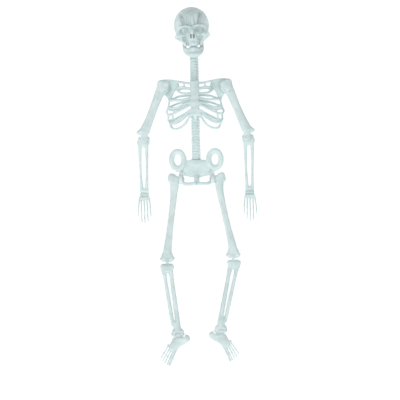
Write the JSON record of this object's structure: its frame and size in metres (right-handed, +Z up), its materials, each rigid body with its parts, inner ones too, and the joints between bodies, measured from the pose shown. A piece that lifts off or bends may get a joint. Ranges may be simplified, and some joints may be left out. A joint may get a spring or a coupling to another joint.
{
  "type": "hanging skeleton figure",
  "caption": "Jointed plastic skeleton that hangs by an eye on the crown, with turning head, hinged jaw, shoulders, elbows, hips, knees and ankles.",
  "frame": {"origin": "middle of the hanging eye on the back of the crown", "axes": "+Z up along the spine, -Y the way the face looks, +X to the figure's own left"},
  "size_m": [0.2974, 0.1138, 0.8949],
  "materials": {
    "bone_plastic": "pale green-white moulded plastic, satin",
    "pin_plastic": "white moulded plastic, smooth",
    "screw_steel": "plated steel"
  },
  "bodies": {
    "skull": {"skull_front": "bone_plastic", "skull_back": "bone_plastic", "hanging_eye": "pin_plastic", "jaw_pin": "pin_plastic"},
    "jaw": {"jaw": "bone_plastic"},
    "torso": {"spine": "bone_plastic", "rib_cage_front": "bone_plastic", "rib_cage_back": "bone_plastic", "chest_screw_1": "screw_steel", "chest_screw_2": "screw_steel", "chest_screw_3": "screw_steel", "pelvis": "bone_plastic"},
    "upper_arm_left": {"upper_arm_front_left": "bone_plastic", "upper_arm_back_left": "bone_plastic", "shoulder_rivet_left": "pin_plastic", "elbow_pin_left": "pin_plastic"},
    "forearm_left": {"forearm_hand_left": "bone_plastic"},
    "thigh_left": {"thigh_front_left": "bone_plastic", "thigh_back_left": "bone_plastic", "hip_peg_left": "pin_plastic", "knee_pin_left": "pin_plastic"},
    "shin_left": {"shin_left": "bone_plastic", "ankle_pin_left": "pin_plastic"},
    "foot_left": {"foot_left": "bone_plastic"},
    "upper_arm_right": {"upper_arm_front_right": "bone_plastic", "upper_arm_back_right": "bone_plastic", "shoulder_rivet_right": "pin_plastic", "elbow_pin_right": "pin_plastic"},
    "forearm_right": {"forearm_hand_right": "bone_plastic"},
    "thigh_right": {"thigh_front_right": "bone_plastic", "thigh_back_right": "bone_plastic", "hip_peg_right": "pin_plastic", "knee_pin_right": "pin_plastic"},
    "shin_right": {"shin_right": "bone_plastic", "ankle_pin_right": "pin_plastic"},
    "foot_right": {"foot_right": "bone_plastic"}
  },
  "joints": [
    {"name": "head_turn", "type": "hinge", "parent": "skull", "child": "torso", "pos_m": [0.00691, -0.034, -0.07699], "axis": [0, 0, 1], "range_deg": [-60, 60]},
    {"name": "jaw_hinge", "type": "hinge", "parent": "skull", "child": "jaw", "pos_m": [0.00447, -0.048, -0.07306], "axis": [0.9981, 0, 0.061], "range_deg": [-4, 16]},
    {"name": "shoulder_left", "type": "hinge", "parent": "torso", "child": "upper_arm_left", "pos_m": [0.08591, -0.046, -0.18699], "axis": [0, -1, 0], "range_deg": [-12, 120]},
    {"name": "elbow_left", "type": "hinge", "parent": "upper_arm_left", "child": "forearm_left", "pos_m": [0.13491, -0.0537, -0.32099], "axis": [0, -1, 0], "range_deg": [-8, 90]},
    {"name": "hip_left", "type": "hinge", "parent": "torso", "child": "thigh_left", "pos_m": [0.05191, -0.034, -0.42299], "axis": [-1, 0, 0], "range_deg": [-20, 90]},
    {"name": "knee_left", "type": "hinge", "parent": "thigh_left", "child": "shin_left", "pos_m": [0.09391, -0.034, -0.61449], "axis": [1, 0, 0], "range_deg": [0, 100]},
    {"name": "ankle_left", "type": "hinge", "parent": "shin_left", "child": "foot_left", "pos_m": [0.05841, -0.034, -0.80299], "axis": [-1, 0, 0], "range_deg": [-8, 60]},
    {"name": "shoulder_right", "type": "hinge", "parent": "torso", "child": "upper_arm_right", "pos_m": [-0.07209, -0.046, -0.18699], "axis": [0, 1, 0], "range_deg": [-12, 120]},
    {"name": "elbow_right", "type": "hinge", "parent": "upper_arm_right", "child": "forearm_right", "pos_m": [-0.12109, -0.0537, -0.32099], "axis": [0, 1, 0], "range_deg": [-8, 90]},
    {"name": "hip_right", "type": "hinge", "parent": "torso", "child": "thigh_right", "pos_m": [-0.03809, -0.034, -0.42299], "axis": [-1, 0, 0], "range_deg": [-20, 90]},
    {"name": "knee_right", "type": "hinge", "parent": "thigh_right", "child": "shin_right", "pos_m": [-0.07109, -0.034, -0.62049], "axis": [1, 0, 0], "range_deg": [0, 100]},
    {"name": "ankle_right", "type": "hinge", "parent": "shin_right", "child": "foot_right", "pos_m": [-0.04909, -0.034, -0.80999], "axis": [-1, 0, 0], "range_deg": [-8, 60]}
  ]
}
